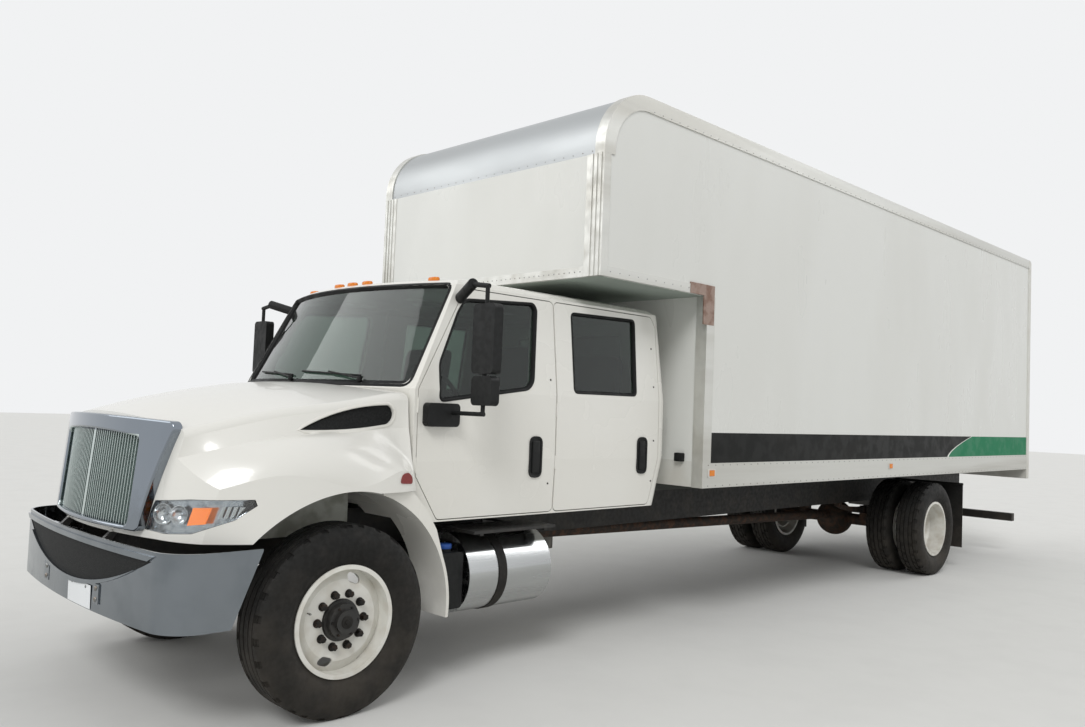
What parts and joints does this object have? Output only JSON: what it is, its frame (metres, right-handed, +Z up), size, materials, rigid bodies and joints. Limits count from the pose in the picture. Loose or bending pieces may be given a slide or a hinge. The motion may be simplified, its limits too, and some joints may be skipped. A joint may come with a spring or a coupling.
{
  "type": "crew-cab box truck",
  "caption": "Crew-cab box truck with a tilting hood, four opening doors, steered front wheels, rear duals and a load box that reaches over the cab",
  "frame": {"origin": "on the ground plane, below the middle of the truck's length and width", "axes": "+Z up, +X towards the truck's left side, +Y towards its tail, so the hood faces -Y"},
  "size_m": [2.87, 11.602, 3.9369],
  "materials": {
    "white_paint": "semi-gloss",
    "body_white": "semi-gloss",
    "bright_aluminium": "brushed",
    "chrome": "mirror",
    "chassis_black": "matte",
    "black_plastic": "matte",
    "tinted_glass": "clear",
    "lamp_glass": "clear",
    "marker_lens": "gloss",
    "tyre_rubber": "matte",
    "wheel_white": "semi-gloss",
    "cast_iron": "rough",
    "seat_cloth": "woven",
    "flap_rubber": "matte",
    "galvanised_steel": "satin"
  },
  "bodies": {
    "chassis": {"frame_rails": "chassis_black", "front_bumper": "chrome", "front_axle": "cast_iron", "rear_axle": "cast_iron", "engine_and_radiator": "cast_iron", "fuel_tank": "bright_aluminium", "chassis_boxes": "black_plastic", "exhaust": "galvanised_steel", "cab_shell": "white_paint", "cab_glass": "tinted_glass", "dashboard": "black_plastic", "seats": "seat_cloth", "quarter_fenders": "white_paint", "cab_steps": "bright_aluminium", "lamps": "marker_lens", "body_floors": "chassis_black", "body_sides": "body_white", "body_front_panels": "body_white", "body_roof": "bright_aluminium", "nose_cap": "bright_aluminium", "body_rails": "bright_aluminium", "rear_frame": "galvanised_steel", "roll_up_door": "body_white", "mud_flaps": "flap_rubber"},
    "hood": {"hood": "white_paint", "grille": "chrome", "headlamps": "lamp_glass"},
    "steering_wheel": {"steering_wheel": "black_plastic"},
    "door_front_left": {"door_front_left": "white_paint", "door_glass_front_left": "tinted_glass", "mirror_left": "black_plastic"},
    "door_rear_left": {"door_rear_left": "white_paint", "door_glass_rear_left": "tinted_glass"},
    "knuckle_left": {"knuckle_left": "cast_iron"},
    "wheel_front_left": {"tyre_front_left": "tyre_rubber", "wheel_front_left": "wheel_white"},
    "wheel_rear_left": {"tyres_rear_left": "tyre_rubber", "wheels_rear_left": "wheel_white"},
    "door_front_right": {"door_front_right": "white_paint", "door_glass_front_right": "tinted_glass", "mirror_right": "black_plastic"},
    "door_rear_right": {"door_rear_right": "white_paint", "door_glass_rear_right": "tinted_glass"},
    "knuckle_right": {"knuckle_right": "cast_iron"},
    "wheel_front_right": {"tyre_front_right": "tyre_rubber", "wheel_front_right": "wheel_white"},
    "wheel_rear_right": {"tyres_rear_right": "tyre_rubber", "wheels_rear_right": "wheel_white"}
  },
  "joints": [
    {"name": "hood_tilt", "type": "hinge", "parent": "chassis", "child": "hood", "pos_m": [0, -5.74, 0.9], "axis": [1, 0, 0], "range_deg": [0, 58]},
    {"name": "door_front_left_hinge", "type": "hinge", "parent": "chassis", "child": "door_front_left", "pos_m": [1.048, -4.2765, 1.505], "axis": [0, 0, -1], "range_deg": [0, 68]},
    {"name": "door_rear_left_hinge", "type": "hinge", "parent": "chassis", "child": "door_rear_left", "pos_m": [1.048, -3.1135, 1.505], "axis": [0, 0, -1], "range_deg": [0, 68]},
    {"name": "steer_left", "type": "hinge", "parent": "chassis", "child": "knuckle_left", "pos_m": [0.9, -4.755, 0.512], "axis": [0, 0, 1], "range_deg": [-38, 38]},
    {"name": "wheel_front_left_spin", "type": "hinge", "parent": "knuckle_left", "child": "wheel_front_left", "pos_m": [1.02, -4.755, 0.512], "axis": [1, 0, 0], "continuous": true},
    {"name": "wheel_rear_left_spin", "type": "hinge", "parent": "chassis", "child": "wheel_rear_left", "pos_m": [0.92, 2.865, 0.512], "axis": [1, 0, 0], "continuous": true},
    {"name": "door_front_right_hinge", "type": "hinge", "parent": "chassis", "child": "door_front_right", "pos_m": [-1.048, -4.2765, 1.505], "axis": [0, 0, 1], "range_deg": [0, 68]},
    {"name": "door_rear_right_hinge", "type": "hinge", "parent": "chassis", "child": "door_rear_right", "pos_m": [-1.048, -3.1135, 1.505], "axis": [0, 0, 1], "range_deg": [0, 68]},
    {"name": "steer_right", "type": "hinge", "parent": "chassis", "child": "knuckle_right", "pos_m": [-0.9, -4.755, 0.512], "axis": [0, 0, 1], "range_deg": [-38, 38]},
    {"name": "wheel_front_right_spin", "type": "hinge", "parent": "knuckle_right", "child": "wheel_front_right", "pos_m": [-1.02, -4.755, 0.512], "axis": [1, 0, 0], "continuous": true},
    {"name": "wheel_rear_right_spin", "type": "hinge", "parent": "chassis", "child": "wheel_rear_right", "pos_m": [-0.92, 2.865, 0.512], "axis": [1, 0, 0], "continuous": true},
    {"name": "steering_wheel_turn", "type": "hinge", "parent": "chassis", "child": "steering_wheel", "pos_m": [0.48, -3.715, 1.76], "axis": [0, -0.788, -0.6157], "range_deg": [-700, 700]}
  ],
  "couplings": [
    {"joint": "steer_right", "follows": "steer_left", "ratio": 1},
    {"joint": "steering_wheel_turn", "follows": "steer_left", "ratio": -18}
  ]
}
